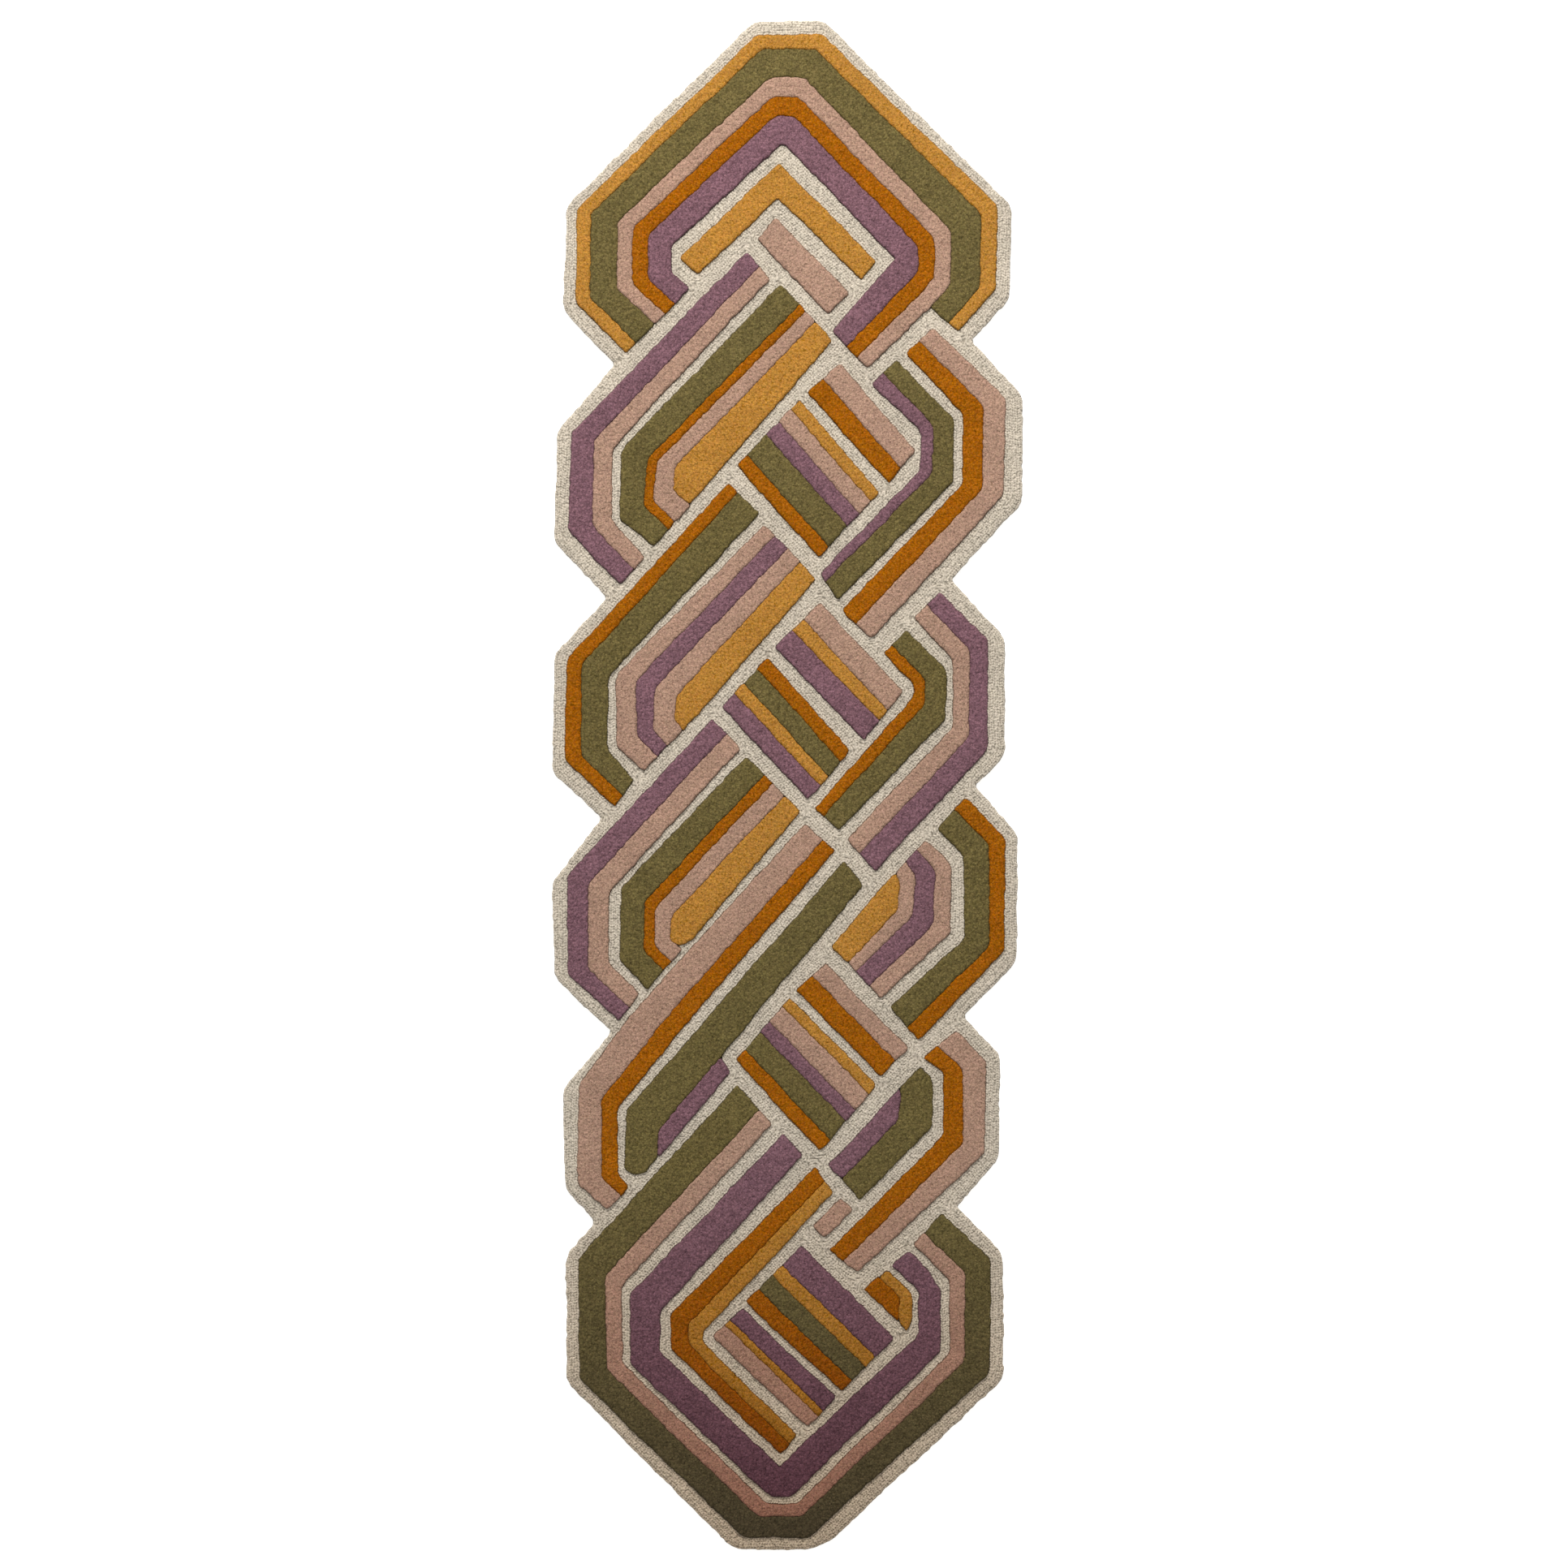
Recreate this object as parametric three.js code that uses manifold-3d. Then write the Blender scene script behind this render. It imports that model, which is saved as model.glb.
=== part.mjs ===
// A hand-tufted wool runner rug: interlaced bands of carved cut pile in five colours, which stand
// proud of a cream loop-pile ground, on a backing of two cloths with latex between them.
// Millimetres, +Z up, +Y along the rug. The underside lies on Z = 0, centred on the origin.

import * as THREE from 'three';
import { mergeVertices } from 'three/addons/utils/BufferGeometryUtils.js';
import Module from 'manifold-3d';

const wasm = await Module();
wasm.setup();

// ---- Driving dimensions ----------------------------------------------------------------------

const SQUARE = 5; // one square of the tufter's squared cloth, on which the whole pattern is drawn
const BACKING_CLOTH = 1; // the canvas underneath
const LATEX = 1; // the cured latex that locks the tufts
const TUFTING_CLOTH = 0.8; // the cloth that the yarn is shot through
const GLUE_LINE = 0.3; // left clear between one layer and the next
const LOOP_PILE = 7; // height of the cream loops above the tufting cloth
const CUT_PILE = 10.5; // height of the cut stripes above the tufting cloth
const HEM_WIDTH = 35; // the tufting cloth's edge, turned under
const BACKING_SETBACK = 3; // the canvas stops this far inside the rug's edge
const GROOVE_WIDTH = 1; // carved between two stripes
const GROOVE_DEPTH = 4; // on the panels, where neighbouring stripes share their roots
const CORNER_CUT = 12.5; // taken off each side of a corner where the rug's edge is rounded
const CORNER_STEPS = 3; // straight pieces in a rounded corner

const HEM_BOTTOM = BACKING_CLOTH + GLUE_LINE;
const TUFTING_BOTTOM = HEM_BOTTOM + LATEX + GLUE_LINE;
const PILE_BOTTOM = TUFTING_BOTTOM + TUFTING_CLOTH + GLUE_LINE;

// ---- Materials -------------------------------------------------------------------------------

const wool = (color) => new THREE.MeshStandardMaterial({ color, roughness: 0.95, metalness: 0 });

const yarns = {
  cream: wool('#cac2b2'),
  mustard: wool('#ba8b41'),
  amber: wool('#a8620f'),
  olive: wool('#716842'),
  pink: wool('#b39383'),
  purple: wool('#866470'),
};
const canvas = new THREE.MeshStandardMaterial({ color: '#cfc6b0', roughness: 0.9, metalness: 0 });
const tuftingCloth = new THREE.MeshStandardMaterial({ color: '#d8d2c2', roughness: 0.9, metalness: 0 });
const latex = new THREE.MeshStandardMaterial({ color: '#d9cfb6', roughness: 0.6, metalness: 0 });

// ---- The pattern, in squares from the centre of the rug --------------------------------------

const point = ([x, y]) => new THREE.Vector2(x, y);

// The rug's edge, clockwise from the top. The narrow waists between the lobes stay sharp.
const rugEdge = [
  [-10.5, 244], [11.5, 244], [71.5, 185], [71, 155.5], [58.5, 142], [75, 124.5], [75, 90],
  [52, 65.5], [69.5, 47], [69.5, 9.5], [60, 0], [73.5, -16], [73, -56.5], [56, -74],
  [68, -86.5], [67.5, -119.5], [54, -134.5], [69, -150], [69, -189.5], [14, -241],
  [7.5, -244], [-17, -244], [-70.5, -190.5], [-70.5, -150], [-62, -140.5], [-62, -138.5],
  [-71, -128.5], [-71.5, -97], [-56, -78.5], [-74, -61.5], [-75, -31], [-59, -10.5],
  [-75, 4], [-74, 41.5], [-57.5, 60], [-74.5, 78], [-73.5, 113], [-55, 134.5], [-71.5, 152],
  [-70.5, 185],
];

// The line inside the arch where its outer two stripes meet its inner three.
const archMiddle = [
  [-42.5, 147], [-54.5, 158.5], [-54, 179.5], [-5.5, 226], [5.5, 226], [52.5, 176.5],
  [52, 159.5], [45.5, 152.5],
];

// A band runs between two edges that turn their corners together. Its stripes are listed from
// the first edge to the second, each with its width, or its widths at the two ends of the band.
const bands = [
  {
    name: 'arch',
    edges: [
      [[-51.5, 138], [-67.5, 154.5], [-67, 184], [-9.5, 239.5], [11, 239.5], [67, 185],
        [66.5, 158.5], [54.5, 145]],
      archMiddle,
    ],
    stripes: [['mustard', 4.5], ['olive', 8.5]],
  },
  {
    name: 'arch',
    edges: [
      [...archMiddle, [25.5, 133]],
      [[-31, 158.5], [-37, 163.5], [-37, 172], [-2, 204.5], [-0.5, 204.5], [34, 168.5],
        [34.5, 167.5], [29.5, 162], [14.5, 145]],
    ],
    stripes: [['pink', 5], ['amber', 5], ['purple', 7.5]],
  },
  {
    name: 'left_1',
    edges: [
      [[-13, 170], [-69, 112.5], [-70, 81], [-53, 64]],
      [[-5.5, 161.5], [-56, 107.5], [-56, 84.5], [-45.5, 72.5]],
    ],
    stripes: [['purple', 6], ['pink', 5]],
  },
  {
    name: 'right_1',
    edges: [
      [[46.5, 146], [69.5, 123.5], [69, 92.5], [27, 47]],
      [[38, 138], [56, 118.5], [56, 96], [17.5, 55.5]],
    ],
    stripes: [['pink', 6.5], ['amber', 6]],
  },
  {
    name: 'right_1',
    edges: [
      [[35, 135.5], [53, 117], [53, 97], [16.5, 59]],
      [[27, 128], [43, 113], [42.5, 100.5], [10.5, 67.5]],
    ],
    stripes: [['olive', 5.5, 7], ['purple', 4.5, 3]],
  },
  {
    name: 'left_2',
    edges: [
      [[-19, 96], [-70, 40], [-71, 8], [-55, -7]],
      [[-9, 87], [-57, 34.5], [-57.5, 11.5], [-49, 1.5]],
    ],
    stripes: [['amber', 4, 5.5], ['olive', 9, 7.5]],
  },
  {
    name: 'right_2',
    edges: [
      [[48.5, 61.5], [64, 46.5], [64, 11.5], [28, -27.5]],
      [[40.5, 53.5], [53, 40.5], [53, 18.5], [19, -17.5]],
    ],
    stripes: [['purple', 5.5, 7], ['pink', 5.5]],
  },
  {
    name: 'right_2',
    edges: [
      [[38, 49.5], [51, 37], [50.5, 21], [16.5, -14]],
      [[31, 42], [40.5, 32.5], [40.5, 28], [8.5, -7.5]],
    ],
    stripes: [['olive', 6.5], ['amber', 3.5]],
  },
  {
    name: 'left_3',
    edges: [
      [[-24, 21], [-70, -29], [-70, -60], [-53.5, -75]],
      [[-15, 11.5], [-57, -34.5], [-57, -56.5], [-47, -66.5]],
    ],
    stripes: [['purple', 6], ['pink', 6]],
  },
  {
    name: 'right_3',
    edges: [
      [[57, -4], [69.5, -17], [69, -53], [42, -81.5]],
      [[48, -14], [56.5, -22.5], [56.5, -49], [33, -71]],
    ],
    stripes: [['amber', 5], ['olive', 8]],
  },
  {
    name: 'left_4',
    edges: [
      [[5.5, -12.5], [-50, -73.5], [-66.5, -95.5], [-67, -127], [-57.5, -135.5]],
      [[15, -21], [-36.5, -81], [-54.5, -103.5], [-54, -124.5], [-50.5, -128]],
    ],
    stripes: [['pink', 7.5], ['amber', 5]],
  },
  {
    name: 'right_4',
    edges: [
      [[54, -78.5], [63.5, -88.5], [63, -117.5], [22.5, -155.5]],
      [[43.5, -87], [50, -92], [50, -112], [13.5, -148.5]],
    ],
    stripes: [['pink', 7.5, 6], ['amber', 5.5, 6]],
  },
  {
    name: 'base',
    edges: [
      [[-16, -95.5], [-66.5, -151], [-66.5, -189], [-14, -240], [7, -240], [64.5, -187.5],
        [65, -151.5], [49.5, -137]],
      [[-5, -108], [-53, -160], [-52.5, -184.5], [-6.5, -229.5], [3, -229.5], [52, -181.5],
        [52, -158.5], [40.5, -146.5]],
    ],
    stripes: [['olive', 8.5], ['pink', 5]],
  },
  {
    name: 'base',
    edges: [
      [[9, -122], [-37, -169], [-37, -180], [-2, -213.5]],
      [[14.5, -130], [-27, -174.5], [-27, -178], [3, -207.5]],
    ],
    stripes: [['amber', 5.5], ['mustard', 4.5]],
  },
];

// A panel is a band whose stripes are tufted and carved as one piece. Its first edge is the one
// on the left, so that the panel's name lists its yarns from left to right.
const panels = [
  {
    name: 'core_left_1',
    edges: [
      [[-2, 160], [-53, 107], [-53.5, 85], [-42.5, 76]],
      [[9, 148], [-35.5, 102], [-36.5, 94], [-31, 89]],
    ],
    stripes: [['olive', 9, 7], ['amber', 3], ['pink', 4.5, 7]],
  },
  {
    name: 'bars_1_upper',
    edges: [[[6.5, 125.5], [32.5, 96.5]], [[17, 134.5], [41, 106.5]]],
    stripes: [['amber', 6], ['pink', 7]],
  },
  {
    name: 'bars_1_lower',
    edges: [[[-16, 102], [10, 73]], [[4, 123], [29.5, 93.5]]],
    stripes: [['amber', 4.5], ['olive', 9], ['purple', 5.5], ['pink', 5.5], ['mustard', 4]],
  },
  {
    name: 'core_left_2',
    edges: [
      [[-7.5, 83], [-54.5, 35], [-54.5, 12.5], [-46, 4.5]],
      [[4, 71.5], [-35.5, 28.5], [-36, 21], [-33.5, 17.5]],
    ],
    stripes: [['pink', 4.5, 7], ['purple', 5.5, 4.5], ['pink', 5.5, 7]],
  },
  {
    name: 'bars_2_upper',
    edges: [[[-4, 44], [24.5, 14.5]], [[10.5, 58], [37, 30]]],
    stripes: [['purple', 7.5], ['mustard', 5, 4], ['pink', 7.5]],
  },
  {
    name: 'bars_2_lower',
    edges: [[[-21, 25], [6.5, -4.5]], [[-6.5, 40.5], [20, 11]]],
    stripes: [['purple', 5.5], ['mustard', 4], ['olive', 6], ['amber', 4.5]],
  },
  {
    name: 'core_left_3',
    edges: [
      [[-13, 9], [-53, -33], [-53.5, -55.5], [-44.5, -65]],
      [[-1, -3.5], [-37, -42], [-37.5, -49.5], [-33.5, -52.5]],
    ],
    stripes: [['olive', 7.5], ['amber', 3.5], ['pink', 5]],
  },
  {
    name: 'core_right_3',
    edges: [
      [[34.5, -28.5], [36, -31], [35.5, -39.5], [19.5, -56.5]],
      [[44.5, -17.5], [52.5, -25.5], [52, -47], [30, -68]],
    ],
    stripes: [['pink', 5.5, 4], ['purple', 5.5, 6.5], ['pink', 4.5, 5.5]],
  },
  {
    name: 'bars_3_upper',
    edges: [[[3, -65.5], [30, -93]], [[12.5, -57], [38.5, -84]]],
    stripes: [['amber', 6.5], ['pink', 5.5]],
  },
  {
    name: 'bars_3_lower',
    edges: [[[-16.5, -87.5], [10.5, -116.5]], [[1, -68], [28.5, -96]]],
    stripes: [['amber', 4.5], ['olive', 7.5], ['purple', 4.5], ['pink', 6.5], ['mustard', 3.5]],
  },
  {
    name: 'bars_4_upper',
    edges: [[[-13.5, -165], [17.5, -193.5]], [[4.5, -147], [34, -176.5]]],
    stripes: [['amber', 6, 4.5], ['olive', 6], ['mustard', 4.5], ['purple', 8.5]],
  },
  {
    name: 'bars_4_lower',
    edges: [[[-24, -176], [6.5, -205]], [[-14.5, -167], [15.5, -195.5]]],
    stripes: [['pink', 5.5, 5], ['mustard', 2.5], ['purple', 5.5, 6]],
  },
];

// The stripes that have no neighbour to follow, or that fill what their neighbours leave.
const patches = [
  {
    name: 'chevron',
    yarn: 'mustard',
    outline: [[-34.5, 168], [-2.5, 198.5], [28.5, 167], [23.5, 161.5], [-3, 187.5], [-28.5, 163]],
  },
  {
    name: 'top_bar',
    yarn: 'pink',
    outline: [[-4, 181], [20, 157], [13, 150.5], [-9.5, 174]],
  },
  {
    name: 'left_1',
    yarn: 'mustard',
    outline: [[9, 148], [-35.5, 102], [-36.5, 94], [-31.5, 89.5], [-30, 91], [14.5, 142]],
  },
  {
    name: 'left_2',
    yarn: 'mustard',
    outline: [[4, 71.5], [-35.5, 28.5], [-36, 21], [-33.5, 17.5], [-32.5, 18.5], [9, 65.5]],
  },
  {
    name: 'left_3',
    yarn: 'mustard',
    outline: [[-1, -3.5], [-37, -42], [-37.5, -49.5], [-35.5, -51], [-32.5, -51], [-30, -49],
      [4, -8.5]],
  },
  {
    name: 'left_4',
    yarn: 'olive',
    outline: [[18, -24.5], [-51.5, -104], [-52, -122.5], [-49, -124], [-46, -124],
      [-41.5, -118.5], [-41.5, -110.5], [24, -32]],
  },
  {
    name: 'left_4',
    yarn: 'purple',
    outline: [[-21.5, -86.5], [-41.5, -110.5], [-41.5, -118], [-40.5, -118], [-18.5, -91.5]],
  },
  {
    name: 'right_3',
    yarn: 'mustard',
    outline: [[34.5, -28.5], [36, -31], [35.5, -39.5], [19.5, -56.5], [14, -51.5], [33.5, -29]],
  },
  {
    name: 'right_4',
    yarn: 'olive',
    outline: [[42.5, -90], [46.5, -94.5], [46.5, -109], [23, -132.5], [17.5, -125.5],
      [35.5, -107], [36.5, -100], [36, -97]],
  },
  {
    name: 'right_4',
    yarn: 'purple',
    outline: [[36, -97], [36.5, -100], [35.5, -107], [17.5, -125.5], [13, -121.5], [35, -98]],
  },
  {
    name: 'tie',
    yarn: 'pink',
    outline: [[17, -132], [21, -135.5], [12, -144.5], [8, -141]],
  },
  {
    name: 'base',
    yarn: 'purple',
    outline: [[-1, -111], [-50, -162.5], [-50, -184.5], [-5.5, -227], [1, -227], [49, -180.5],
      [49, -161], [42.5, -152], [39, -149], [33.5, -153.5], [42, -161.5], [42, -175.5],
      [-2.5, -217.5], [-40.5, -181], [-40.5, -168], [5, -118]],
  },
  {
    name: 'knot',
    yarn: 'mustard',
    outline: [[32, -155], [40, -163], [40, -170.5], [38, -174], [35.5, -171], [36, -164],
      [29.5, -157]],
  },
  {
    name: 'knot',
    yarn: 'amber',
    outline: [[29.5, -157], [36, -164], [35.5, -171], [24.5, -161]],
  },
];

// ---- Outlines --------------------------------------------------------------------------------

const inMillimetres = (outline) => outline.map((corner) => corner.clone().multiplyScalar(SQUARE));

// Rounds the convex corners of an anticlockwise outline, and leaves the others sharp.
function rounded(outline, cut) {
  const path = new THREE.Path();
  outline.forEach((corner, k) => {
    const before = outline.at(k - 1);
    const after = outline[(k + 1) % outline.length];
    const arriving = corner.clone().sub(before).normalize();
    const leaving = after.clone().sub(corner).normalize();
    const isConvex = arriving.cross(leaving) > 0;
    const room = Math.min(corner.distanceTo(before), corner.distanceTo(after)) / 2;
    const taken = isConvex ? Math.min(cut, room) : 0;
    const start = corner.clone().addScaledVector(arriving, -taken);
    const end = corner.clone().addScaledVector(leaving, taken);
    if (k === 0) path.moveTo(start.x, start.y);
    else path.lineTo(start.x, start.y);
    if (isConvex) path.quadraticCurveTo(corner.x, corner.y, end.x, end.y);
  });
  return path.getPoints(CORNER_STEPS);
}

// Moves every side of a closed outline inwards by a distance, and gives it back anticlockwise.
// A negative distance grows it.
function inset(outline, distance) {
  const ring = THREE.ShapeUtils.isClockWise(outline) ? [...outline].reverse() : outline;
  const inwards = (a, b) => new THREE.Vector2(a.y - b.y, b.x - a.x).normalize();
  return ring.map((corner, k) => {
    const before = inwards(ring.at(k - 1), corner);
    const after = inwards(corner, ring[(k + 1) % ring.length]);
    const shift = before.clone().add(after).divideScalar(1 + before.dot(after));
    return corner.clone().addScaledVector(shift, distance);
  });
}

// The whole outline of a band: along its first edge and back along its second.
function bandOutline({ edges: [first, second] }) {
  return [...first, ...[...second].reverse()].map(point);
}

// The outline of each stripe of a band, from its first edge to its second.
function stripeOutlines({ edges, stripes }) {
  const [first, second] = edges.map((edge) => edge.map(point));
  const last = first.length - 1;
  const widthAt = ([, start, end = start], k) => start + (end - start) * (k / last);
  const widthOf = (some, k) => some.reduce((sum, stripe) => sum + widthAt(stripe, k), 0);
  const line = (count) => first.map((corner, k) => {
    const share = widthOf(stripes.slice(0, count), k) / widthOf(stripes, k);
    return corner.clone().lerp(second[k], share);
  });
  return stripes.map((stripe, n) => [...line(n), ...line(n + 1).reverse()]);
}

// ---- Solids ----------------------------------------------------------------------------------

function prism(outline, bottom, height) {
  const geometry = new THREE.ExtrudeGeometry(new THREE.Shape(outline), {
    depth: height,
    bevelEnabled: false,
  });
  return geometry.translate(0, 0, bottom);
}

function toSolid(geometry) {
  const bare = geometry.clone();
  bare.deleteAttribute('normal');
  bare.deleteAttribute('uv');
  const merged = mergeVertices(bare);
  return new wasm.Manifold(new wasm.Mesh({
    numProp: 3,
    vertProperties: new Float32Array(merged.attributes.position.array),
    triVerts: new Uint32Array(merged.index.array),
  }));
}

function toGeometry(solid) {
  const mesh = solid.getMesh();
  const geometry = new THREE.BufferGeometry();
  geometry.setAttribute('position', new THREE.BufferAttribute(mesh.vertProperties, 3));
  geometry.setIndex(new THREE.BufferAttribute(mesh.triVerts, 1));
  geometry.computeVertexNormals();
  return geometry;
}

// A layer of the rug's own shape, that stops a setback inside its edge.
function layer(setback, bottom, thickness) {
  const outline = inset(inMillimetres(rugEdge.map(point)), setback);
  return prism(rounded(outline, CORNER_CUT), bottom, thickness);
}

// The tufting cloth's edge, turned under all round.
function turnedHem() {
  const inside = toSolid(layer(HEM_WIDTH, 0, PILE_BOTTOM));
  return toGeometry(toSolid(layer(0, HEM_BOTTOM, LATEX)).subtract(inside));
}

// The cream loops fill everything that the stripes leave. Neighbouring holes are grown until they
// meet, so that no sliver of loop pile is left between two stripes.
function loopPileGround() {
  const holes = [
    ...[...bands, ...panels].map(bandOutline),
    ...patches.map(({ outline }) => outline.map(point)),
  ];
  const tall = CUT_PILE * 2;
  return toGeometry(holes.reduce((ground, hole) => {
    const grown = inset(inMillimetres(hole), -GROOVE_WIDTH / 2);
    return ground.subtract(toSolid(prism(grown, PILE_BOTTOM - LOOP_PILE, tall)));
  }, toSolid(layer(0, PILE_BOTTOM, LOOP_PILE))));
}

// One stripe of cut pile, kept half a groove inside its drawn outline.
function stripe(outline) {
  return prism(inset(inMillimetres(outline), GROOVE_WIDTH / 2), PILE_BOTTOM, CUT_PILE);
}

// Several stripes that share their roots, with a groove carved between each two.
function carvedPanel(panel) {
  const rootHeight = CUT_PILE - GROOVE_DEPTH;
  const outline = inset(inMillimetres(bandOutline(panel)), GROOVE_WIDTH / 2);
  const roots = toSolid(prism(outline, PILE_BOTTOM, rootHeight));
  return toGeometry(stripeOutlines(panel).reduce(
    (solid, shape) => solid.add(toSolid(stripe(shape))),
    roots,
  ));
}

// ---- The rug ---------------------------------------------------------------------------------

const rug = new THREE.Group();

function add(name, geometry, material) {
  const mesh = new THREE.Mesh(geometry, material);
  mesh.name = name;
  rug.add(mesh);
}

add('secondary_backing', layer(BACKING_SETBACK, 0, BACKING_CLOTH), canvas);
add('latex_layer', layer(HEM_WIDTH + GLUE_LINE, HEM_BOTTOM, LATEX), latex);
add('turned_hem', turnedHem(), tuftingCloth);
add('primary_backing', layer(0, TUFTING_BOTTOM, TUFTING_CLOTH), tuftingCloth);
add('loop_pile_ground', loopPileGround(), yarns.cream);

for (const band of bands) {
  stripeOutlines(band).forEach((outline, n) => {
    const [yarn] = band.stripes[n];
    add(`${band.name}_${yarn}`, stripe(outline), yarns[yarn]);
  });
}

for (const panel of panels) {
  const names = panel.stripes.map(([yarn]) => yarn);
  add(`${panel.name}_${names.join('_')}`, carvedPanel(panel), yarns[names[0]]);
}

for (const { name, yarn, outline } of patches) {
  add(`${name}_${yarn}`, stripe(outline.map(point)), yarns[yarn]);
}

export default rug;
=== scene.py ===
"""Looks of the runner rug: carved stripes of cut pile, a ground of loop pile, and the backing.

Every piece is a relief over the outline of its CAD node's top face: a fine grid of points that
is cut to the outline, raised and lowered into tufts, loops or cloth, and closed underneath.
Lengths are in metres, +Z is up and +Y runs along the rug, towards the arch of stripes.
"""

import math

import bmesh
import bpy
import numpy as np
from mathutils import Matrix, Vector


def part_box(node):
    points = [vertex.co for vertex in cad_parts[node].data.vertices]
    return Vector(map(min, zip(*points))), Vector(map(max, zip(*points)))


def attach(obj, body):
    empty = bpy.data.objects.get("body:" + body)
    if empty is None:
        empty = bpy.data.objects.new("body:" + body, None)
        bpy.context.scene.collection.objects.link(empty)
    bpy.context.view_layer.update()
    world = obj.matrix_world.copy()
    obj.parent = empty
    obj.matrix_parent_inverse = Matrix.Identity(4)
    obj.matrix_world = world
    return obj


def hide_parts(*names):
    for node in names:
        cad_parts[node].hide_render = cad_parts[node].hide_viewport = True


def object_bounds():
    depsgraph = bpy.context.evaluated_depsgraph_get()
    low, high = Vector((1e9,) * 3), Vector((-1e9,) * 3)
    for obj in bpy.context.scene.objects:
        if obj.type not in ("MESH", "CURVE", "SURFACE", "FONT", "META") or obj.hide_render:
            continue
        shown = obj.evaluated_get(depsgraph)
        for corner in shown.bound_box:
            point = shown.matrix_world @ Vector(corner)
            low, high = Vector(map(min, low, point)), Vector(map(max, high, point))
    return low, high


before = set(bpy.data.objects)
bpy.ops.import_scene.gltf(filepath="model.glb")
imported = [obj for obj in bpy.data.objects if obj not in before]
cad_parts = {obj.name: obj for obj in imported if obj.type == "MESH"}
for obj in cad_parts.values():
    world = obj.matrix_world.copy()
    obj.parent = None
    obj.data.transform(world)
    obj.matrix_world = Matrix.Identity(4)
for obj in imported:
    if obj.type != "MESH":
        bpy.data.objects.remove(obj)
cad_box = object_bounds()

# ---- Sizes -----------------------------------------------------------------------------------

PILE_GRID = 0.0016  # between the points of a stripe
TUFT = 0.0031  # between the tufts of the cut pile
TUFT_JITTER = 0.9  # width of the square that a tuft's middle may lie in, in tufts
TUFT_RISE = 0.0012  # how much higher one tuft may be cut than the next
TUFT_DOME = 0.0008  # how far the top falls at a tuft's width from its middle
SWELL = 0.0004  # slow unevenness that the shears leave
SWELL_LENGTH = 0.03
SHOULDER_WIDTH = 0.0034  # the carved slope along each stripe's edge
SHOULDER_DROP = 0.0017
# How deep a place counts as sets the shade that the wool paints there.
LOW_TUFT_GAP = 1.2  # how deep that place counts as beside the lowest tuft, up to 1
HIGH_TUFT_GAP = 0.6  # the same beside the highest tuft
SHOULDER_GAP = 0.15  # the same down at a stripe's edge

LOOP_GRID = 0.0011  # between the points of the loop pile
LOOP_ROW = 0.0039  # width of a row of loops
LOOP_LENGTH = 0.0042  # between the loops of a row
LOOP_JITTER = 0.3  # width of the square that a loop's middle may lie in, in loops
LOOP_RISE = 0.0021  # from the gaps to the tops of the loops
LOOP_REACH = 0.58  # from a loop's middle to its foot, as a share of its length
LOWEST_LOOP = 0.88  # its height, as a share of the highest loop's
LOOP_GAP = 1.1  # how deep a loop's foot counts as for the painted gap shade, up to 1
LOOP_SLANT = 0.5  # how far a loop leans along its row, one row this way and the next that
ROW_WANDER = 0.0007  # how far a row strays sideways
ROW_WANDER_LENGTH = 0.011
RIM_WIDTH = 0.007  # the rounded rim of the rug
RIM_DROP = 0.0032
CREASE_WIDTH = 0.002  # where the loops meet a stripe
CREASE_DROP = 0.0003
OUTLINE_SHIFT = 31  # loops between the patterns of one outline and the next, which differ so

PIT_SPACING = 0.0039  # between the pits of painted shade that show among the tufts
FIBRE = 0.0009  # width of the ends of the yarn's plies
CLOUD = 0.05  # size of the paler and darker areas in a yarn

CLOTH_GRID = 0.006
CLOTH_RIPPLE = 0.00008
CLOTH_RIPPLE_LENGTH = 0.05
CANVAS_THREAD = 0.0012
TUFTING_CLOTH_THREAD = 0.0009
SLUB = 0.012  # length of the thick and thin stretches of a thread
SMEAR = 0.02  # size of the smears in the latex

PILE_SPREAD = 0.00044  # the pile opens out this far beyond its roots
SHARP_TURN = math.radians(60)  # a bend in a stripe turns less than this, and an end more
BEND_ROUNDING = 0.0075  # from a bend to where its curve begins
END_ROUNDING = 0.0045  # the same at the corners of a stripe's end
JUNCTION_ROUNDING = 0.0015  # the same where another stripe's end goes on from the corner
CORNER_MATCH = 0.0015  # a stripe's corner this near a corner of its opening in the ground is free
CURVE_SHARE = 0.45  # of the shorter side at a corner, the most that its curve takes up
CURVE_STEPS = 4
MITRE_LIMIT = 0.5  # keeps a very sharp corner from moving out far

# A hand-guided tufting gun wanders: (how far, over what length). All the pieces share it.
WANDER = ((0.0012, 0.11), (0.0008, 0.03), (0.0011, 0.0075))

FIELD_REACH = 0.02  # beyond this, how far the nearest side is doesn't matter
EDGE_SNAP = 0.45  # a point this many grid steps outside may still be drawn in to the outline
SAME_POINT = 1e-5  # corners that agree when rounded to this are one corner
NOISE_CELLS = 509  # along each side of the square of random numbers that a pattern repeats
# WANDER_SEED is the first of six seeds, two for each row of WANDER.
TUFT_SEED, SWELL_SEED, LOOP_SEED, ROW_SEED, RIPPLE_SEED, WANDER_SEED = range(6)

VIEW_HEIGHT = 2.501  # how much of the rug's plane the picture shows, from top to bottom
VIEW_SHIFT = (-0.0052, 0.002)  # the picture's middle, from the rug's
LENS = 90.0  # in millimetres, as is the sensor
SENSOR = 36.0
KEY_LIGHT_PLACE = (-0.6, 4.4, 3.6)
KEY_LIGHT_SIZE = (2.6, 1.6)
KEY_LIGHT_WATTS = 330
SKY_STRENGTH = 0.55
FLOOR_REACH = 20.0
FLOOR_DROP = 0.0003  # keeps the floor from touching the rug's canvas
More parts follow.
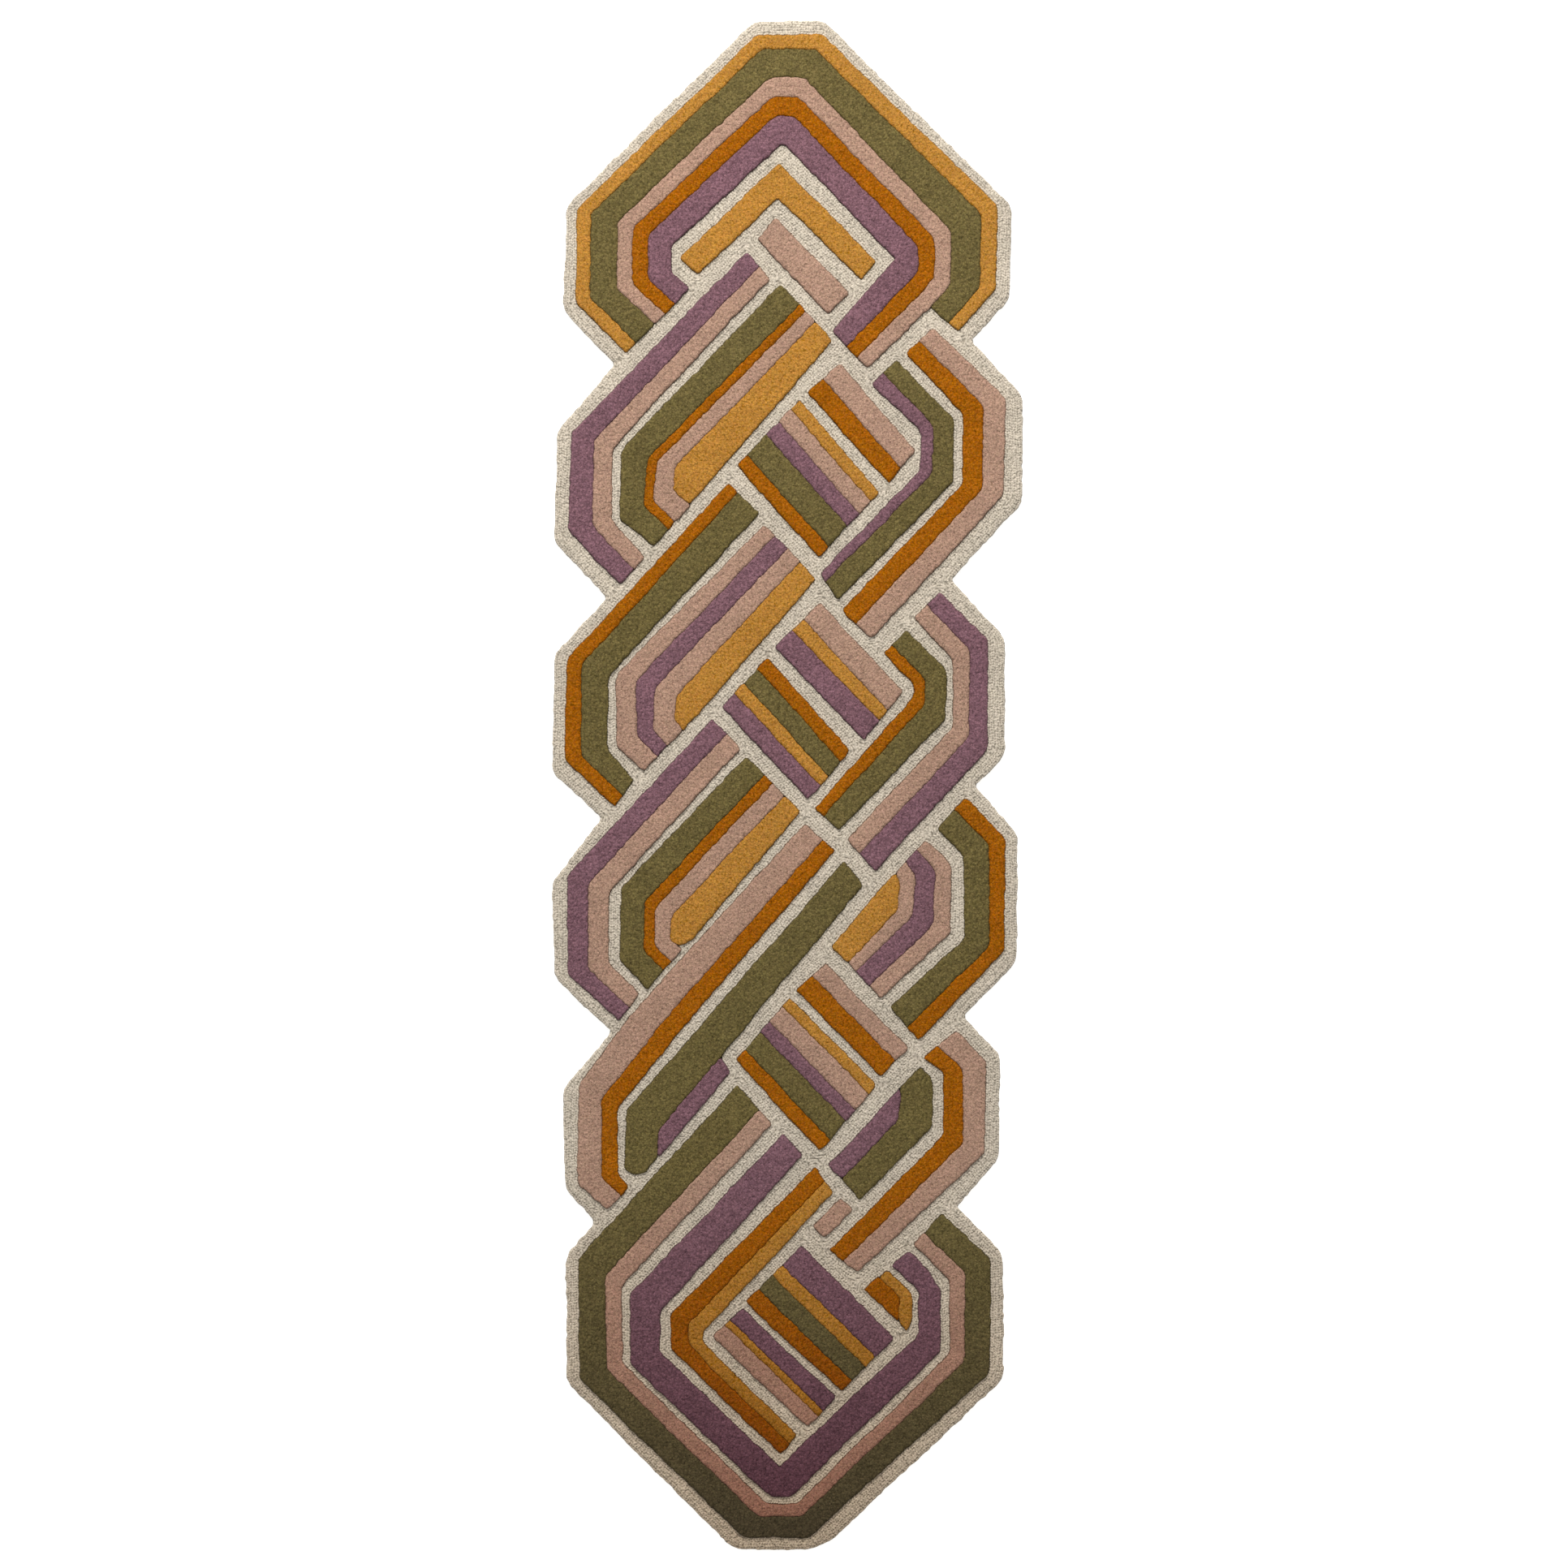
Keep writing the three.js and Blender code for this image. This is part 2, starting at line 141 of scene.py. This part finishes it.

# ---- Colours ---------------------------------------------------------------------------------

# Each yarn's colour over most of the rug, its colour at the foot with painted shade, as the rug is
# painted darker towards its foot, and how far its tufts differ in shade.
YARNS = {
    "cream": ((0.628, 0.563, 0.468), (0.53, 0.424, 0.312), 0.03),
    "mustard": ((0.44, 0.208, 0.040), (0.24, 0.086, 0.007), 0.10),
    "amber": ((0.33, 0.103, 0.004), (0.178, 0.040, 0.003), 0.18),
    "olive": ((0.142, 0.112, 0.041), (0.063, 0.048, 0.027), 0.26),
    "pink": ((0.405, 0.255, 0.188), (0.28, 0.127, 0.085), 0.10),
    "purple": ((0.200, 0.104, 0.129), (0.091, 0.035, 0.047), 0.24),
}
CANVAS = (0.55, 0.47, 0.35)
TUFTING_CLOTH = (0.62, 0.57, 0.47)
LATEX = (0.60, 0.52, 0.38)
KEY_LIGHT = (1.0, 0.97, 0.93)
SKY = (1.0, 0.985, 0.96)

# ---- Finishes --------------------------------------------------------------------------------

# Values of the shader's own inputs. A bump is its height in metres and its strength.
WOOL_FINISH = {
    "Roughness": 0.95,
    "Specular IOR Level": 0.02,
    "Sheen Weight": 0.02,
    "Sheen Roughness": 0.6,
}
CLOTH_FINISH = {"Roughness": 0.9}
LATEX_FINISH = {"Roughness": 0.55}
FLOOR_FINISH = {
    "Base Color": (0.72, 0.72, 0.72, 1.0),
    "Roughness": 0.9,
    "Emission Color": (1.0, 1.0, 1.0, 1.0),
    "Emission Strength": 0.68,
}
WOOL_BUMP = (0.001, 0.7)
CLOTH_BUMP_STRENGTH = 0.6
LATEX_BUMP = (0.001, 0.5)

# What the patterns multiply a colour's brightness by, at one end of their values and the other.
GAP_PAINTED_SHADES = {"cut pile": 0.50, "loop pile": 0.54}  # painted shade down in the gaps of the relief
CROWN_PAINTED_LIGHT = 1.1  # painted light on the tops of the relief
PIT_PAINTED_SHADES = {"cut pile": 0.52, "loop pile": 1.0}  # painted shade on a pit's floor
TUFT_PAINTED_SHADES = (1.06, 0.75)  # painted light at a tuft's or loop's middle, painted shade towards its edge
FIBRE_SHADES = (0.72, 1.28)
CLOUD_SHADES = (0.93, 1.07)
WEAVE_SHADES = (0.72, 1.1)
SLUB_SHADES = (0.85, 1.15)
SMEAR_SHADES = (0.8, 1.15)
TUFT_HUES = (0.495, 0.505)  # 0.5 leaves the hue as it is
DEPTH_SATURATIONS = (0.98, 1.12)  # from the tops of the relief down into the gaps: painted richer colour of light bounced among fibres

# The values of the patterns themselves.
NOISE_SPAN = (0.3, 0.7)  # nearly all of a noise lies between these
PIT_SPAN = (0.10, 0.34)  # from a pit's floor to its rim, in cells
TUFT_SPAN = (0.3, 0.8)  # from near a tuft's middle to its edge, in cells
WAVE_LENGTH = math.pi / 10  # between the bands of the wave texture at a scale of 1
THREAD_WAVER = 0.6
THREAD_WAVER_DETAIL = 4.0
CLOUD_DETAIL, SLUB_DETAIL, SMEAR_DETAIL = 3.0, 4.0, 5.0  # how many finer layers a noise has

# ---- Random patterns -------------------------------------------------------------------------


def noise_table(seed, numbers=1):
    """A square of random numbers from 0 to 1, that patterns repeat over."""
    return np.random.default_rng(seed).random((NOISE_CELLS, NOISE_CELLS, numbers))


def slow_noise(x, y, length, seed):
    """Smooth random values from -1 to 1 that change over about a length."""
    table = noise_table(seed)[:, :, 0] * 2 - 1
    column, row = np.floor(x / length).astype(int), np.floor(y / length).astype(int)
    across, along = x / length - column, y / length - row
    across, along = (share * share * (3 - 2 * share) for share in (across, along))

    def corner(right, up):
        return table[(row + up) % NOISE_CELLS, (column + right) % NOISE_CELLS]

    low = corner(0, 0) * (1 - across) + corner(1, 0) * across
    high = corner(0, 1) * (1 - across) + corner(1, 1) * across
    return low * (1 - along) + high * along


def nearest_cell(x, y, seed, jitter):
    """How far each point is from the middle of the nearest cell, and that cell's own number.

    The cells are squares of size 1, and each one's middle lies up to half the jitter off-centre.
    """
    table = noise_table(seed, 3)
    column, row = np.floor(x).astype(int), np.floor(y).astype(int)
    distance, number = np.full(x.shape, np.inf), np.zeros(x.shape)
    for right in (-1, 0, 1):
        for up in (-1, 0, 1):
            own = table[(row + up) % NOISE_CELLS, (column + right) % NOISE_CELLS]
            away = np.hypot(
                column + right + 0.5 + jitter * (own[..., 0] - 0.5) - x,
                row + up + 0.5 + jitter * (own[..., 1] - 0.5) - y,
            )
            closer = away < distance
            distance = np.where(closer, away, distance)
            number = np.where(closer, own[..., 2], number)
    return distance, number


def wander(x, y):
    """Where points go when the tufting gun strays from the drawn line."""
    for step, (far, length) in enumerate(WANDER):
        seed = WANDER_SEED + 2 * step
        shift = slow_noise(x, y, length, seed), slow_noise(x, y, length, seed + 1)
        x, y = x + far * shift[0], y + far * shift[1]
    return x, y


# ---- Outlines --------------------------------------------------------------------------------


def top_sides(mesh):
    """The outer sides of a mesh's top faces, as pairs of corners in steps of SAME_POINT."""
    corners = [tuple(round(c / SAME_POINT) for c in vertex.co) for vertex in mesh.vertices]
    top = max(corner[2] for corner in corners)
    sides = set()
    for face in mesh.polygons:
        ring = [corners[i] for i in face.vertices]
        if any(corner[2] != top for corner in ring):
            continue
        for side in zip(ring, ring[1:] + ring[:1]):
            if side[::-1] in sides:
                sides.remove(side[::-1])
            else:
                sides.add(side)
    return sides


def top_outlines(node):
    """The closed outlines round a CAD node's top faces, each as rows of x and y."""
    following = {}
    for start, end in sorted(top_sides(node.data)):
        following.setdefault(start, []).append(end)
    outlines = []
    while following:
        first = corner = next(iter(following))
        outline = []
        while corner in following:
            outline.append([corner[0] * SAME_POINT, corner[1] * SAME_POINT])
            ends = following[corner]
            onward = ends.pop()
            if not ends:
                del following[corner]
            corner = onward
            if corner == first:
                break
        outlines.append(np.array(outline))
    return outlines


def softened(outline, spread, free_corners):
    """An outline moved outwards, with its corners rounded, most of all the free ones."""
    onward = np.roll(outline, -1, axis=0) - outline
    length = np.hypot(*onward.T)
    onward = onward / length[:, None]
    arriving = np.roll(onward, 1, axis=0)
    outward = np.stack([onward[:, 1], -onward[:, 0]], axis=1)
    both = outward + np.roll(outward, 1, axis=0)
    corners = outline + 2 * spread * both / np.maximum((both**2).sum(1), MITRE_LIMIT)[:, None]
    turn = np.arccos(np.clip((arriving * onward).sum(1), -1, 1))
    away = np.hypot(*(outline[:, None] - free_corners[None]).T).min(0)
    reach = np.where(away < CORNER_MATCH, END_ROUNDING, JUNCTION_ROUNDING)
    reach = np.where(turn < SHARP_TURN, BEND_ROUNDING, reach)
    reach = np.minimum(reach, CURVE_SHARE * np.minimum(length, np.roll(length, 1)))[:, None, None]
    step = np.linspace(0, 1, CURVE_STEPS + 1)[None, :, None]
    curves = onward[:, None] * step**2 - arriving[:, None] * (1 - step) ** 2
    return (corners[:, None] + reach * curves).reshape(-1, 2)


def extent(outline):
    """The longer side of the box round an outline."""
    return float(np.ptp(outline, axis=0).max())


class Field:
    """A grid over some outlines, that knows for each point how near their sides are.

    signed is the distance to the nearest side, positive inside. near_x and near_y are the
    nearest point on it, along how far round its outline that point is, and number which
    outline it is on.
    """

    def __init__(self, outlines, pitch):
        corners = np.concatenate(outlines)
        low, high = corners.min(0) - 2 * pitch, corners.max(0) + 2 * pitch
        self.xs, self.ys = (np.arange(low[axis], high[axis], pitch) for axis in (0, 1))
        self.pitch = pitch
        self.x, self.y = np.meshgrid(self.xs, self.ys)
        self.distance = np.full(self.x.shape, FIELD_REACH)
        self.near_x, self.near_y = self.x.copy(), self.y.copy()
        self.along = np.zeros(self.x.shape)
        self.number = np.zeros(self.x.shape, int)
        self.inside = np.zeros(self.x.shape, bool)
        for number, outline in enumerate(outlines):
            travelled = 0.0
            for start, end in zip(outline, np.roll(outline, -1, axis=0)):
                self.measure(start, end, number, travelled)
                self.cross(start, end)
                travelled += math.dist(start, end)
        self.signed = np.where(self.inside, self.distance, -self.distance)
        self.on_rim = self.number == int(np.argmax([extent(outline) for outline in outlines]))

    def measure(self, start, end, number, travelled):
        """Takes one side into account at the points within reach of it."""
        low, high = np.minimum(start, end) - FIELD_REACH, np.maximum(start, end) + FIELD_REACH
        window = tuple(
            slice(*np.searchsorted(line, (low[axis], high[axis])))
            for axis, line in ((1, self.ys), (0, self.xs))
        )
        x, y = self.x[window], self.y[window]
        length = math.dist(start, end)
        way = (end - start) / length
        along = np.clip((x - start[0]) * way[0] + (y - start[1]) * way[1], 0, length)
        near_x, near_y = start[0] + along * way[0], start[1] + along * way[1]
        distance = np.hypot(x - near_x, y - near_y)
        closer = distance < self.distance[window]
        self.distance[window][closer] = distance[closer]
        self.near_x[window][closer] = near_x[closer]
        self.near_y[window][closer] = near_y[closer]
        self.along[window][closer] = travelled + along[closer]
        self.number[window][closer] = number

    def cross(self, start, end):
        """Takes the points to the right of one side from outside to inside, or back."""
        rows = (self.ys >= min(start[1], end[1])) & (self.ys < max(start[1], end[1]))
        if rows.any():
            lean = (end[0] - start[0]) / (end[1] - start[1])
            crossing = start[0] + (self.ys[rows] - start[1]) * lean
            self.inside[rows] ^= self.xs[None, :] > crossing[:, None]


# ---- Reliefs ---------------------------------------------------------------------------------
# Each relief gives the height of every point of a field, and how deep it lies in a gap, from 0
# to 1. The wool paints shade into its colour by that depth.


def slope(distance, width):
    """1 at a side, falling smoothly to 0 at a width from it."""
    return (1 - np.clip(distance / width, 0, 1)) ** 2


def cut_pile(field, top):
    """Cut tufts of uneven height, with a slope carved along the stripe's sides."""
    away, number = nearest_cell(field.x / TUFT, field.y / TUFT, TUFT_SEED, TUFT_JITTER)
    swell = SWELL * slow_noise(field.x, field.y, SWELL_LENGTH, SWELL_SEED)
    shoulder = slope(field.signed, SHOULDER_WIDTH)
    height = top + swell + TUFT_RISE * (number - 0.5) - TUFT_DOME * away**2
    gap = LOW_TUFT_GAP + (HIGH_TUFT_GAP - LOW_TUFT_GAP) * number
    depth = np.clip(away**2 * gap + SHOULDER_GAP * shoulder, 0, 1)
    return height - SHOULDER_DROP * shoulder, depth


def loop_pile(field, top):
    """Loops in rows that follow the nearest side, each row leaning the other way."""
    stray = ROW_WANDER * slow_noise(field.x, field.y, ROW_WANDER_LENGTH, ROW_SEED)
    across = (field.distance + stray) / LOOP_ROW
    lean = LOOP_SLANT * abs(across % 2 - 1)
    along = field.along / LOOP_LENGTH + lean + OUTLINE_SHIFT * field.number
    away, number = nearest_cell(along, across, LOOP_SEED, LOOP_JITTER)
    arch = np.sqrt(np.clip(1 - (away / LOOP_REACH) ** 2, 0, 1))
    arch *= LOWEST_LOOP + (1 - LOWEST_LOOP) * number
    rim = np.where(field.on_rim, slope(field.signed, RIM_WIDTH), 0)
    crease = np.where(field.on_rim, 0, slope(field.signed, CREASE_WIDTH))
    height = top - LOOP_RISE * (1 - arch) - RIM_DROP * rim - CREASE_DROP * crease
    return height, np.clip(LOOP_GAP * (1 - arch), 0, 1)


def cloth(field, top):
    """Flat cloth or latex with faint slow ripples, and no gaps."""
    ripple = slow_noise(field.x, field.y, CLOTH_RIPPLE_LENGTH, RIPPLE_SEED)
    return top - CLOTH_RIPPLE * (1 + ripple), np.zeros(field.x.shape)


# ---- Meshes ----------------------------------------------------------------------------------


def cell_corners(values):
    """The values at the four corners of each square of a grid, anticlockwise."""
    return np.stack([values[:-1, :-1], values[:-1, 1:], values[1:, 1:], values[1:, :-1]], axis=-1)


def relief_mesh(name, field, heights, depths, bottom):
    """A closed mesh over the inside of a field, whose border lies on the outlines."""
    kept = field.signed > -EDGE_SNAP * field.pitch
    cell = cell_corners(kept).all(axis=-1)
    padded = np.pad(cell, 1)
    around = cell_corners(padded).sum(axis=-1)
    used = around > 0
    border = used & (around < 4)
    x, y = wander(
        np.where(border, field.near_x, field.x)[used],
        np.where(border, field.near_y, field.y)[used],
    )
    index = np.full(kept.shape, -1)
    index[used] = np.arange(used.sum())

    # A face is split from its first corner to its third, which should run away from the border.
    corners = cell_corners(index)[cell]
    signed = cell_corners(field.signed)[cell]
    first_way = abs(signed[:, 0] - signed[:, 2]) >= abs(signed[:, 1] - signed[:, 3])
    tops = np.where(first_way[:, None], corners, np.roll(corners, -1, axis=1))

    neighbours = [padded[:-2, 1:-1], padded[1:-1, 2:], padded[2:, 1:-1], padded[1:-1, :-2]]
    rim = np.concatenate([
        np.stack([corners[:, side], corners[:, (side + 1) % 4]], axis=1)[~neighbour[cell]]
        for side, neighbour in enumerate(neighbours)
    ])
    lowered, place = np.unique(rim, return_inverse=True)
    place = place.reshape(rim.shape) + len(x)
    walls = np.stack([rim[:, 1], rim[:, 0], place[:, 0], place[:, 1]], axis=1)

    upper = np.stack([x, y, heights[used]], axis=1)
    lower = np.stack([x[lowered], y[lowered], np.full(len(lowered), bottom)], axis=1)
    points, faces = np.concatenate([upper, lower]), np.concatenate([tops, walls])
    # The foot of each wall counts as deepest, so the wool paints it in full shade.
    mesh = new_mesh(name, points, faces, np.concatenate([depths[used], np.ones(len(lowered))]))
    close_underside(mesh)
    return mesh


def new_mesh(name, points, faces, depths):
    """A smooth mesh of four-sided faces, each of whose points carries its depth."""
    mesh = bpy.data.meshes.new(name)
    mesh.vertices.add(len(points))
    mesh.vertices.foreach_set("co", points.ravel())
    mesh.loops.add(faces.size)
    mesh.loops.foreach_set("vertex_index", faces.ravel())
    mesh.polygons.add(len(faces))
    mesh.polygons.foreach_set("loop_start", np.arange(0, faces.size, 4))
    mesh.update(calc_edges=True)
    mesh.attributes.new("depth", "FLOAT", "POINT").data.foreach_set("value", depths)
    mesh.shade_smooth()
    return mesh


def close_underside(mesh):
    """Fills the bottom of a mesh with flat faces that look down."""
    solid = bmesh.new()
    solid.from_mesh(mesh)
    open_edges = [edge for edge in solid.edges if edge.is_boundary]
    made = bmesh.ops.triangle_fill(solid, edges=open_edges, normal=(0, 0, -1))
    for face in made["geom"]:
        if isinstance(face, bmesh.types.BMFace) and face.normal.z > 0:
            face.normal_flip()
    solid.to_mesh(mesh)
    solid.free()


def relief_piece(name, outlines, node, pitch, relief, material):
    """One piece of the rug, in the place and thickness of the CAD node that it stands for."""
    low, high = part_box(node)
    field = Field(outlines, pitch)
    heights, depths = relief(field, high.z)
    mesh = relief_mesh(name, field, heights, depths, low.z)
    mesh.materials.append(material)
    piece = bpy.data.objects.new(name, mesh)
    bpy.context.scene.collection.objects.link(piece)
    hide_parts(node)
    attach(piece, "root")
    return piece


# ---- Materials -------------------------------------------------------------------------------


class Tree:
    """A short way to write a material's nodes."""

    def __init__(self, name):
        self.material = bpy.data.materials.new(name)
        self.material.use_nodes = True
        self.nodes = self.material.node_tree.nodes
        self.shader = self.nodes["Principled BSDF"]
        self.position = self.add("ShaderNodeTexCoord").outputs["Object"]

    def link(self, source, socket):
        self.material.node_tree.links.new(source, socket)

    def add(self, kind, inputs=(), **settings):
        """A new node, with its inputs linked where they are sockets and set where they aren't."""
        node = self.nodes.new(kind)
        for setting, value in settings.items():
            setattr(node, setting, value)
        for key, value in dict(inputs).items():
            if isinstance(value, bpy.types.NodeSocket):
                self.link(value, node.inputs[key])
            else:
                node.inputs[key].default_value = value
        return node

    def multiply(self, *values):
        """The product of two or more sockets."""
        product, *others = values
        for value in others:
            inputs = {0: product, 1: value}
            product = self.add("ShaderNodeMath", inputs, operation="MULTIPLY").outputs[0]
        return product

    def between(self, value, low, high, from_low=0.0, from_high=1.0):
        """value, which runs between the last two numbers, made to run from low to high."""
        inputs = {"Value": value, "From Min": from_low, "From Max": from_high}
        inputs.update({"To Min": low, "To Max": high})
        return self.add("ShaderNodeMapRange", inputs).outputs["Result"]

    def cells(self, length):
        """Scattered cells about a length apart: distance from a cell's middle, and its colour."""
        inputs = {"Vector": self.position, "Scale": 1 / length, "Randomness": 1.0}
        return self.add("ShaderNodeTexVoronoi", inputs, feature="F1").outputs

    def noise(self, length, detail=2.0):
        """Cloudy values round 0.5 that change over about a length, with detail finer layers."""
        inputs = {"Vector": self.position, "Scale": 1 / length, "Detail": detail}
        return self.add("ShaderNodeTexNoise", inputs).outputs["Fac"]

    def mix(self, share, first, second):
        """A colour between two others: the first at a share of 0, the second at 1."""
        inputs = {"Factor": share, "A": first, "B": second}
        node = self.add("ShaderNodeMix", data_type="RGBA")
        for key, value in inputs.items():
            socket = next(s for s in node.inputs if s.name == key and s.enabled)
            if isinstance(value, bpy.types.NodeSocket):
                self.link(value, socket)
            else:
                socket.default_value = value
        return next(s for s in node.outputs if s.enabled)

    def threads(self, width, direction):
        """Bands as wide as a thread that follow each other in a direction and waver a little."""
        inputs = {"Vector": self.position, "Scale": WAVE_LENGTH / width}
        inputs.update({"Distortion": THREAD_WAVER, "Detail Scale": THREAD_WAVER_DETAIL})
        return self.add("ShaderNodeTexWave", inputs, bands_direction=direction).outputs["Fac"]

    def paint(self, colour, value, hue=0.5, saturation=1.0):
        """Sets the colour, with its brightness multiplied by value."""
        inputs = {"Hue": hue, "Saturation": saturation, "Value": value, "Color": colour}
        painted = self.add("ShaderNodeHueSaturation", inputs).outputs["Color"]
        self.link(painted, self.shader.inputs["Base Color"])

    def finish(self, values):
        """Sets the shader's inputs that are the same all over."""
        for socket, value in values.items():
            self.shader.inputs[socket].default_value = value

    def bump(self, height, distance, strength):
        inputs = {"Height": height, "Distance": distance, "Strength": strength}
        self.link(self.add("ShaderNodeBump", inputs).outputs["Normal"], self.shader.inputs["Normal"])


def opaque(colour):
    """A colour with the fourth number that Blender wants."""
    return (*colour, 1.0)


def wool(yarn, pile, tuft):
    """Dyed wool whose tufts differ a little in shade, with painted shade down in the pile, in the
    pits, between the tufts and towards the rug's foot, and painted light on the tops of the pile.
    """
    tree = Tree(f"{yarn}_wool")
    place = tree.add("ShaderNodeSeparateXYZ", {0: tree.position}).outputs["Y"]
    # Painted shade: from halfway to the foot down to the foot, each yarn turns to its darker foot
    # colour.
    foot = cad_box[0].y
    unshaded_colour, foot_shaded_colour, contrast = YARNS[yarn]
    dye_and_foot_shade = tree.mix(tree.between(place, 0, 1, foot, foot / 2), opaque(foot_shaded_colour), opaque(unshaded_colour))

    cells = tree.cells(tuft)
    shade = tree.add("ShaderNodeSeparateColor", {0: cells["Color"]})
    fibres = tree.noise(FIBRE)
    depth = tree.add("ShaderNodeAttribute", attribute_name="depth").outputs["Fac"]
    # The value holds the tufts' own tones and grain, plus painted shade between the tufts, in the
    # pits and in the gaps, and painted light on the tops.
    value = tree.multiply(
        tree.between(shade.outputs[0], 1 - contrast, 1 + contrast),
        tree.between(tree.cells(PIT_SPACING)["Distance"], PIT_PAINTED_SHADES[pile], 1, *PIT_SPAN),
        tree.between(cells["Distance"], *TUFT_PAINTED_SHADES, *TUFT_SPAN),
        tree.between(fibres, *FIBRE_SHADES, *NOISE_SPAN),
        tree.between(tree.noise(CLOUD, CLOUD_DETAIL), *CLOUD_SHADES, *NOISE_SPAN),
        tree.between(depth, CROWN_PAINTED_LIGHT, GAP_PAINTED_SHADES[pile]),
    )
    hue = tree.between(shade.outputs[1], *TUFT_HUES)
    # The saturation paints the gaps richer, as light that has bounced among the fibres.
    tree.paint(dye_and_foot_shade, value, hue, tree.between(depth, *DEPTH_SATURATIONS))
    tree.finish(WOOL_FINISH)
    height = tree.add("ShaderNodeMath", {0: fibres, 1: cells["Distance"]}, operation="SUBTRACT")
    tree.bump(height.outputs[0], *WOOL_BUMP)
    return tree.material


def woven(name, colour, thread):
    """Plain-woven cloth: threads that pass over and under each other."""
    tree = Tree(name)
    weave = tree.multiply(tree.threads(thread, "X"), tree.threads(thread, "Y"))
    slubs = tree.noise(SLUB, SLUB_DETAIL)
    shades = tree.between(weave, *WEAVE_SHADES), tree.between(slubs, *SLUB_SHADES)
    tree.paint(opaque(colour), tree.multiply(*shades))
    tree.finish(CLOTH_FINISH)
    tree.bump(weave, thread / 2, CLOTH_BUMP_STRENGTH)
    return tree.material


def cured_latex():
    """Latex spread by hand, with smears in it."""
    tree = Tree("latex")
    smears = tree.noise(SMEAR, SMEAR_DETAIL)
    tree.paint(opaque(LATEX), tree.between(smears, *SMEAR_SHADES))
    tree.finish(LATEX_FINISH)
    tree.bump(smears, *LATEX_BUMP)
    return tree.material


# ---- The rug ---------------------------------------------------------------------------------

wools = {yarn: wool(yarn, "cut pile", TUFT) for yarn in YARNS if yarn != "cream"}
wools["cream"] = wool("cream", "loop pile", LOOP_LENGTH)
canvas = woven("canvas", CANVAS, CANVAS_THREAD)
tufting_cloth = woven("tufting_cloth", TUFTING_CLOTH, TUFTING_CLOTH_THREAD)

# CAD node: its piece, the grid, relief and slot of that piece, and its material.
LAYERS = {
    "secondary_backing": ("canvas_backing", CLOTH_GRID, cloth, "canvas", canvas),
    "latex_layer": ("latex_coat", CLOTH_GRID, cloth, "latex", cured_latex()),
    "turned_hem": ("turned_cloth_edge", CLOTH_GRID, cloth, "tufting_cloth", tufting_cloth),
    "primary_backing": ("tufting_cloth_sheet", CLOTH_GRID, cloth, "tufting_cloth", tufting_cloth),
    "loop_pile_ground": ("cream_loops", LOOP_GRID, loop_pile, "cream_wool", wools["cream"]),
}


def layer_pieces():
    """The pieces that all the stripes share, by the CAD node that each stands for."""
    made = {}
    for node, (name, pitch, relief, slot, material) in LAYERS.items():
        spread = PILE_SPREAD if relief is loop_pile else 0
        outlines = top_outlines(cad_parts[node])
        outlines = [softened(outline, spread, outline) for outline in outlines]
        made[node] = relief_piece(name, outlines, node, pitch, relief, material)
    return made


def stripe_pieces():
    """One piece for each stripe. A panel's node holds several, named from left to right."""
    openings = np.concatenate(top_outlines(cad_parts["loop_pile_ground"]))
    made = []
    for node in sorted(set(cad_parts) - set(LAYERS)):
        yarns = [word for word in node.split("_") if word in YARNS]
        outlines = sorted(top_outlines(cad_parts[node]), key=lambda corners: corners[:, 0].mean())
        for number, (yarn, outline) in enumerate(zip(yarns, outlines, strict=True), start=1):
            name = f"{node}_stripe_{number}" if len(yarns) > 1 else f"{node}_stripe"
            shape = softened(outline, PILE_SPREAD, openings)
            made.append(relief_piece(name, [shape], node, PILE_GRID, cut_pile, wools[yarn]))
    return made


layers = layer_pieces()
stripes = stripe_pieces()

rug_outline = max(top_outlines(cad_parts["primary_backing"]), key=extent)
canvas_outline = max(top_outlines(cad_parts["secondary_backing"]), key=extent)

# ---- Stage -----------------------------------------------------------------------------------


def add_camera():
    """A camera straight above the rug, with its arch at the top of the picture."""
    camera = bpy.data.cameras.new("camera")
    camera.lens = LENS
    camera.sensor_width = SENSOR
    holder = bpy.data.objects.new("camera", camera)
    holder.location = (*VIEW_SHIFT, cad_box[1].z + VIEW_HEIGHT * LENS / SENSOR)
    bpy.context.scene.collection.objects.link(holder)
    bpy.context.scene.camera = holder


def add_key_light():
    """One large soft light beyond the arch end, aimed at the rug's middle."""
    light = bpy.data.lights.new("key", "AREA")
    light.shape = "RECTANGLE"
    light.size, light.size_y = KEY_LIGHT_SIZE
    light.energy = KEY_LIGHT_WATTS
    light.color = KEY_LIGHT
    holder = bpy.data.objects.new("key", light)
    holder.location = KEY_LIGHT_PLACE
    holder.rotation_euler = (-Vector(KEY_LIGHT_PLACE)).to_track_quat("-Z", "Y").to_euler()
    bpy.context.scene.collection.objects.link(holder)


def add_floor():
    """A pale floor that glows a little, so that it shows as white."""
    corners = [(-1, -1), (1, -1), (1, 1), (-1, 1)]
    mesh = bpy.data.meshes.new("floor")
    points = [(x * FLOOR_REACH, y * FLOOR_REACH, -FLOOR_DROP) for x, y in corners]
    mesh.from_pydata(points, [], [(0, 1, 2, 3)])
    tree = Tree("floor")
    tree.finish(FLOOR_FINISH)
    mesh.materials.append(tree.material)
    floor = bpy.data.objects.new("floor", mesh)
    bpy.context.scene.collection.objects.link(floor)


def add_sky():
    """Even, slightly warm light from all round."""
    world = bpy.data.worlds.new("studio")
    world.use_nodes = True
    background = world.node_tree.nodes["Background"]
    background.inputs["Color"].default_value = (*SKY, 1.0)
    background.inputs["Strength"].default_value = SKY_STRENGTH
    bpy.context.scene.world = world


add_camera()
add_key_light()
add_floor()
add_sky()
bpy.context.scene.view_settings.view_transform = "Standard"
